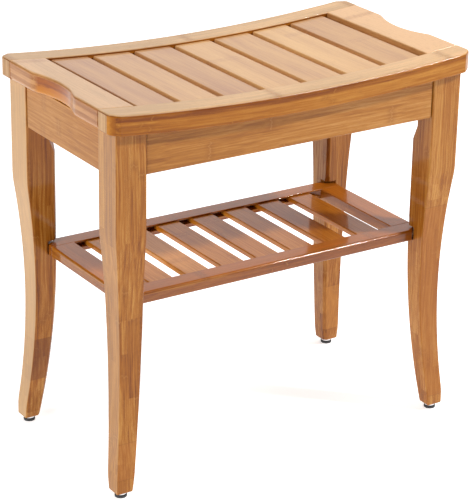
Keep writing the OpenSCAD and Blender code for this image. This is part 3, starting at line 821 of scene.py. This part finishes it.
def short_apron(side):
    """The left or right apron."""
    pitch = 30 * MM
    height = SHORT_HI.z - APRON_Z
    rings = []
    for y, inset in along(SHORT_HI.y - JOINT_GAP, SOFT_EDGE, pitch):
        section = bar_section(SHORT_LO.x, SHORT_HI.x, 0, height, APRON_EDGES, inset)
        rings.append([(y, b, c) for b, c in section])

    def place(y, b, c):
        return side * b, y, APRON_Z + min(c, saddle(b, UNDER_R) - APRON_Z)

    name = "right_apron" if side > 0 else "left_apron"
    wooden(name, rings, place, SHORT_APRON_CHARACTERS[side], APRON_WOOD, "bamboo_apron")


for side in (-1, 1):
    long_apron(side)
    short_apron(side)

# ---------------------------------------------------------------- legs


def hollow_at(z):
    """Depth of the hollow in the leg's outer faces, its two kinks softened."""
    kink = 0.9 * MM
    half = (HOLLOW_Z1 - HOLLOW_Z0) / 2
    radius = (half**2 + HOLLOW_DEPTH**2) / (2 * HOLLOW_DEPTH)
    off = z - HOLLOW_Z0 - half
    depth = math.sqrt(radius**2 - off**2) - radius + HOLLOW_DEPTH
    return smooth_positive(depth, kink)


def bend_at(z):
    """How far the leg's inner faces have curved in at that height."""
    if z >= BEND_Z:
        return 0.0
    height, inwards = BEND_Z - FOOT_Z, LEG_W - FOOT_W
    radius = (height**2 + inwards**2) / (2 * inwards)
    return radius - math.sqrt(radius**2 - (BEND_Z - z) ** 2)


def between_heights(low, high, count):
    """Heights that split low to high into equal steps, without the two ends."""
    return [low + (high - low) * i / count for i in range(1, count)]


def leg_stations():
    """(height, cut across the inner corner, inset) from the foot up."""
    slot_cut = SHELF_HI.x + SHELF_HI.y - SHELF_CUT - LEG_IN_X - LEG_IN_Y + SLOT_GAP * math.sqrt(2)
    slot_top = SHELF_TOP + SLOT_HEADROOM
    flare_cut, flare_top = 3 * MM * math.sqrt(2), slot_top + SLOT_FLARE_H
    cut_z = APRON_Z - INNER_RUN
    plain_top = cut_z - INNER_RUN
    above_joint = APRON_Z + 25 * MM
    stations = [(FOOT_Z - depth, LEG_SOFT, inset) for depth, inset in end_stations(0.0, FOOT_ROUND)]
    stations += [(z, LEG_SOFT, 0.0) for z in between_heights(FOOT_Z + FOOT_ROUND, SHELF_Z, 31)]
    stations += [(SHELF_Z, LEG_SOFT, 0.0), (SHELF_Z, slot_cut, 0.0), (slot_top, slot_cut, 0.0),
                 (slot_top, flare_cut, 0.0), (flare_top, LEG_SOFT, 0.0)]
    stations += [(z, LEG_SOFT, 0.0) for z in between_heights(flare_top, plain_top, 14)]
    stations.append((plain_top, LEG_SOFT, 0.0))
    stations += [(z, INNER_CUT, 0.0) for z in (cut_z, APRON_Z, above_joint, SEAT_TOP)]
    return stations


def leg(corner):
    """A leg: hollowed outside, curved in at the foot, its inner corner cut for bolt and shelf."""
    side_x, side_y = CORNERS[corner]
    inner_edge = 1.2 * MM
    rings = []
    for z, cut, inset in leg_stations():
        hollow, bend = hollow_at(z), bend_at(z)
        x0, x1 = LEG_IN_X + bend + inset, LEG_OUT_X - hollow - inset
        y0, y1 = LEG_IN_Y + bend + inset, LEG_OUT_Y - hollow - inset
        outline = [(x1, y1), (x0, y1), (x0, y0 + cut), (x0 + cut, y0), (x1, y0)]
        radii = [LEG_EDGE, LEG_EDGE, inner_edge, inner_edge, LEG_EDGE]
        rings.append([(z, b, c) for b, c in rounded(outline, radii)])

    def place(z, b, c):
        return side_x * b, side_y * c, min(z, saddle(b, UNDER_R))

    wooden("leg_" + corner, rings, place, LEG_CHARACTERS[corner], LEG_WOOD, "bamboo_leg", "post")


for corner in CORNERS:
    leg(corner)

# ---------------------------------------------------------------- shelf

# Seed and tone of each shelf piece's grain, by side or by number
SHELF_RAIL_CHARACTERS = {-1: (0.13, 0.0), 1: (0.47, 0.0)}
SHELF_END_CHARACTERS = {-1: (0.5, 0.1), 1: (0.9, 0.1)}
SHELF_SLAT_CHARACTERS = (
    (0.31, 0.1), (0.77, 0.3), (0.14, 0.05), (0.52, -0.05), (0.43, 0.05), (0.91, -0.1), (0.28, -0.15),
)
SHELF_TOP_EDGE = 2.8 * MM
TINY = 0.01 * MM


def shelf_rail(side):
    """The shelf's front or back rail: a groove inside, its ends cut for the legs' slots."""
    cut_start = SHELF_HI.x - SHELF_CUT
    groove_x = SHELF_END_LO.x
    groove_low = SHELF_LIP - SHELF_T
    groove_high = groove_low + SHELF_SLAT_T + 0.3 * MM
    radii = [1.5 * MM, SHELF_TOP_EDGE, 0.8 * MM, 0.4 * MM, 0.2 * MM, 0.2 * MM, 0.4 * MM, 0.8 * MM]
    end_round, pitch, kink = 1.5 * MM, 14 * MM, 1.5 * MM
    stations = [(x, inset, SHELF_GROOVE if abs(x) < groove_x - MM else 0.0)
                for x, inset in along(SHELF_HI.x, end_round, pitch)]
    for sign in (-1, 1):
        stations += [(sign * groove_x, 0.0, 0.0), (sign * (groove_x - TINY), 0.0, SHELF_GROOVE)]
    rings = []
    for x, inset, groove in sorted(stations):
        outer = SHELF_HI.y - smooth_positive(abs(x) - cut_start, kink) - inset
        inner, bottom, top = SHELF_LO.y + inset, -SHELF_T + inset, -inset
        groove_b = inner + max(groove, 2 * TINY)
        outline = [(outer, bottom), (outer, top), (inner, top), (inner, groove_high),
                   (groove_b, groove_high), (groove_b, groove_low), (inner, groove_low), (inner, bottom)]
        limits = [max(r - inset, 0.1 * MM) for r in radii]
        if not groove:
            limits[3:7] = [TINY] * 4
        rings.append([(x, b, c) for b, c in rounded(outline, limits, 3)])

    def place(x, b, c):
        return x, side * b, SHELF_TOP + c

    name = "shelf_back_rail" if side > 0 else "shelf_front_rail"
    wooden(name, rings, place, SHELF_RAIL_CHARACTERS[side], SHELF_RAIL_WOOD, "bamboo_shelf_rail")


def shelf_end_rail(side):
    """A shelf end rail, butted between the front and back rails."""
    end_round, pitch = 0.3 * MM, 30 * MM
    edges = [MM, 1.5 * MM, SHELF_TOP_EDGE, MM]
    rings = []
    for y, inset in along(SHELF_END_HI.y, end_round, pitch):
        section = bar_section(SHELF_END_LO.x, SHELF_END_HI.x, -SHELF_T, 0, edges, inset)
        rings.append([(y, b, c) for b, c in section])

    def place(y, b, c):
        return side * b, y, SHELF_TOP + c

    name = "shelf_right_end_rail" if side > 0 else "shelf_left_end_rail"
    wooden(name, rings, place, SHELF_END_CHARACTERS[side], SHELF_RAIL_WOOD, "bamboo_shelf_rail")


def shelf_slat(number):
    """A shelf slat, its ends in the rails' grooves."""
    name = f"shelf_slat_{number}"
    low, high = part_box(name)
    middle, half_w = (low.x + high.x) / 2, (high.x - low.x) / 2
    pitch, bottom, top = 30 * MM, 0.8 * MM, 1.3 * MM
    rings = []
    for y, inset in along(high.y, SOFT_EDGE, pitch):
        section = bar_section(-half_w, half_w, low.z - high.z, 0, [bottom, bottom, top, top], inset)
        rings.append([(y, b, c) for b, c in section])

    def place(y, b, c):
        return middle + b, y, high.z + c

    wooden(name, rings, place, SHELF_SLAT_CHARACTERS[number - 1], SHELF_SLAT_WOOD, "bamboo_shelf_slat")


for side in (-1, 1):
    shelf_rail(side)
    shelf_end_rail(side)
for number in range(1, 8):
    shelf_slat(number)

# ---------------------------------------------------------------- glides

SAME_RADIUS = 1e-6


def stem_thread(radius, pitch, depth):
    """radius_of for spun(): a helical thread cut where a profile point lies on the stem's radius."""

    def radius_of(r, z, angle):
        if abs(r - radius) > SAME_RADIUS:
            return r
        phase = (z / pitch - angle / (2 * math.pi)) % 1
        return r - depth * abs(2 * phase - 1)

    return radius_of


def rim(radius, low, high, edge, steps=3):
    """Points down a rounded rim, from its top edge to its bottom edge."""
    top = []
    for i in range(steps + 1):
        angle = math.pi / 2 * i / steps
        top.append((radius - edge * (1 - math.sin(angle)), high - edge * (1 - math.cos(angle))))
    bottom = [(r, low + high - z) for r, z in reversed(top)]
    return top + bottom


def glide_base(corner):
    """The glide's dark base, which stands on the floor and holds the stem's pin in its socket."""
    name = "glide_base_" + corner
    low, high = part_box(name)
    radius, height = (high.x - low.x) / 2, high.z
    socket_r, socket_z, core = 2.55 * MM, height - 2 * MM, 0.4 * MM
    rim_edge, under_in, under_h = 0.9 * MM, 2.2 * MM, 0.5 * MM
    profile = [(core, socket_z), (socket_r, socket_z), (socket_r, height)]
    profile += rim(radius, 0, height, rim_edge)
    profile += [(radius - under_in, 0), (radius - under_in - 0.6 * MM, under_h), (core, under_h)]
    base = spun(name + "_pad", profile)
    base.location = ((low.x + high.x) / 2, (low.y + high.y) / 2, 0)
    finish_piece(base, GLIDE_PLASTIC, "glide_plastic", "base_" + corner, name)


def glide_stem(corner):
    """The glide's plated pin, collar and threaded stem, which turn together in the base."""
    name = "glide_stem_" + corner
    base_low, base_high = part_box("glide_base_" + corner)
    low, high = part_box(name)
    gap, core, pin_r, pin_edge, stem_r = 0.1 * MM, 0.3 * MM, 2.5 * MM, 0.2 * MM, 3 * MM
    pitch, thread, rows_per_turn = 1 * MM, 0.45 * MM, 6
    collar_r, collar_low, collar_high = (high.x - low.x) / 2, base_high.z + gap, FOOT_Z - gap
    profile = [(core, low.z), (pin_r - pin_edge, low.z), (pin_r, low.z + pin_edge), (pin_r, collar_low)]
    profile += list(reversed(rim(collar_r, collar_low, collar_high, 0.5 * MM)))
    rows = round((high.z - collar_high) / pitch * rows_per_turn)
    profile += [(stem_r, collar_high + (high.z - collar_high) * i / rows) for i in range(rows)]
    profile.append((core, high.z))
    stem = spun(name + "_screw", profile, 32, stem_thread(stem_r, pitch, thread))
    stem.location = ((base_low.x + base_high.x) / 2, (base_low.y + base_high.y) / 2, 0)
    finish_piece(stem, NICKEL, "glide_steel", "stem_" + corner, name)


for corner in CORNERS:
    glide_base(corner)
    glide_stem(corner)

# ---------------------------------------------------------------- fixings under the seat

NODE_MATERIALS = {
    "apron_dowels": DOWEL_WOOD,
    "shelf_joint_dowels": DOWEL_WOOD,
    "shelf_corner_dowels": DOWEL_WOOD,
    "hanger_bolts": ZINC,
    "bolt_washers": ZINC,
    "bolt_nuts": ZINC,
    "corner_block_screws": DARK_STEEL,
    "seat_fixing_screws": DARK_STEEL,
    "glide_inserts": BRASS,
}
for corner in CORNERS:
    NODE_MATERIALS["corner_block_" + corner] = BLOCK_WOOD
for node, material in NODE_MATERIALS.items():
    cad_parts[node].data.materials.clear()
    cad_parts[node].data.materials.append(material)

# ---------------------------------------------------------------- floor, light and camera

# Name, place, aimed at, size and power in watts
SOFTBOXES = (
    ("key", (1.70, -1.55, 2.30), (0, 0, 0.25), (0.25, 0.25), 70),
    ("left", (-2.6, -0.6, 1.6), (0, 0, 0.25), (1.6, 1.6), 51),
    ("overhead", (0.4, 0.3, 2.6), (0, 0.1, 0), (2.4, 2.0), 28),
    ("back", (1.6, 3.1, 1.7), (0, 0, 0.45), (5.0, 2.4), 40),
)
BACKDROP_STRENGTH = 0.06
CAMERA_AT = (-1.2113, -1.8538, 1.1136)
CAMERA_YAW, CAMERA_PITCH, CAMERA_ROLL = 0.583, 0.387, 0.020
CAMERA_LENS = 148.05
CAMERA_SHIFT = -0.0139
FLOOR_HALF = 12.0


def floor():
    """A pale floor that runs far past the view."""
    corners = [(-FLOOR_HALF, -FLOOR_HALF, 0), (FLOOR_HALF, -FLOOR_HALF, 0),
               (FLOOR_HALF, FLOOR_HALF, 0), (-FLOOR_HALF, FLOOR_HALF, 0)]
    mesh = bpy.data.meshes.new("floor")
    mesh.from_pydata(corners, [], [(0, 1, 2, 3)])
    piece = bpy.data.objects.new("floor", mesh)
    bpy.context.scene.collection.objects.link(piece)
    n = Nodes("floor_paint")
    n.finish({"Base Color": (0.93, 0.93, 0.93, 1), "Roughness": 0.9, "Specular IOR Level": 0.1,
              "Emission Color": (1, 1, 1, 1), "Emission Strength": 0.6})
    mesh.materials.append(n.material)


def softbox(name, at, towards, size, power):
    """A rectangular area light."""
    light = bpy.data.lights.new(name, "AREA")
    light.shape = "RECTANGLE"
    light.size, light.size_y = size
    light.energy = power
    lamp = bpy.data.objects.new(name, light)
    lamp.location = at
    lamp.rotation_euler = (Vector(towards) - Vector(at)).to_track_quat("-Z", "Y").to_euler()
    bpy.context.scene.collection.objects.link(lamp)


def backdrop_light(strength):
    """Even white light from all round."""
    world = bpy.data.worlds.new("studio")
    world.use_nodes = True
    background = world.node_tree.nodes["Background"]
    background.inputs["Color"].default_value = (1, 1, 1, 1)
    background.inputs["Strength"].default_value = strength
    bpy.context.scene.world = world


def camera():
    """A long lens from the front left, a little above the seat."""
    data = bpy.data.cameras.new("camera")
    data.sensor_width = 36
    data.lens = CAMERA_LENS
    data.shift_x = CAMERA_SHIFT
    data.clip_end = 100
    view = bpy.data.objects.new("camera", data)
    view.location = CAMERA_AT
    yaw = Matrix.Rotation(-CAMERA_YAW, 3, "Z")
    pitch = Matrix.Rotation(math.pi / 2 - CAMERA_PITCH, 3, "X")
    roll = Matrix.Rotation(CAMERA_ROLL, 3, "Z")
    view.rotation_euler = (yaw @ pitch @ roll).to_euler()
    bpy.context.scene.collection.objects.link(view)
    bpy.context.scene.camera = view


floor()
backdrop_light(BACKDROP_STRENGTH)
for name, at, towards, size, power in SOFTBOXES:
    softbox(name, at, towards, size, power)
camera()
bpy.context.scene.view_settings.view_transform = "Standard"
